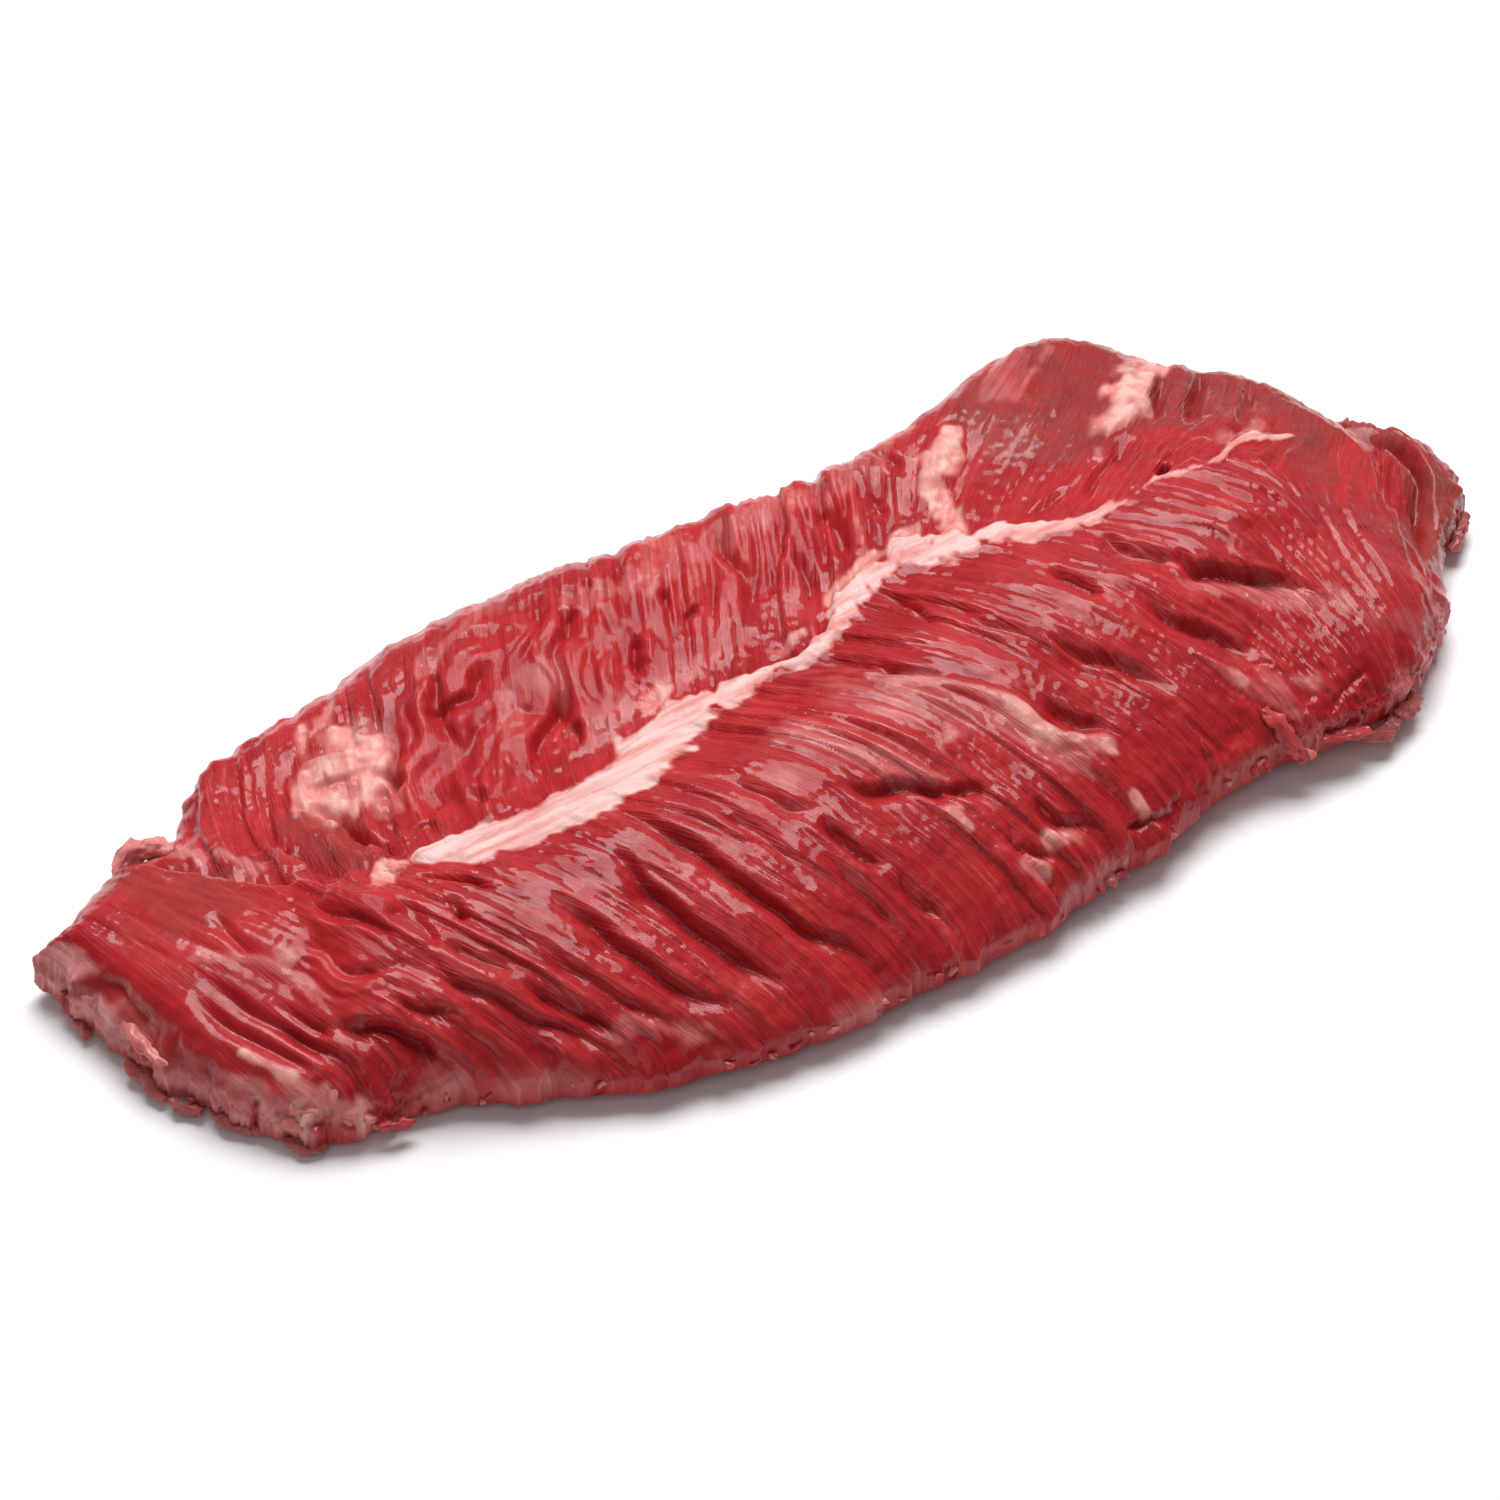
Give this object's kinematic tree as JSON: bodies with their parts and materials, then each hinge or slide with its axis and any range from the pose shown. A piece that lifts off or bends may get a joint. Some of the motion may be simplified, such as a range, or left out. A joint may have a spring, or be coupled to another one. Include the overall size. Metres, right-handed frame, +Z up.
{
  "type": "hanger steak",
  "caption": "Whole raw hanger steak lying flat: a long, coarse-grained, two-lobed piece of muscle with a pale sinew along its middle, torn fatty edges and a flat underside.",
  "frame": {"origin": "centre of the bounding box in plan, on the plane the steak lies on", "axes": "+X along the steak's length, towards its thick ragged end, +Y across it, towards the back lobe, +Z up through its thickness"},
  "size_m": [0.325, 0.1402, 0.0314],
  "materials": {
    "raw_meat": "moist raw muscle, soft gloss, with pale sinew and fat"
  },
  "bodies": {
    "root": {"steak": "raw_meat"}
  },
  "joints": []
}
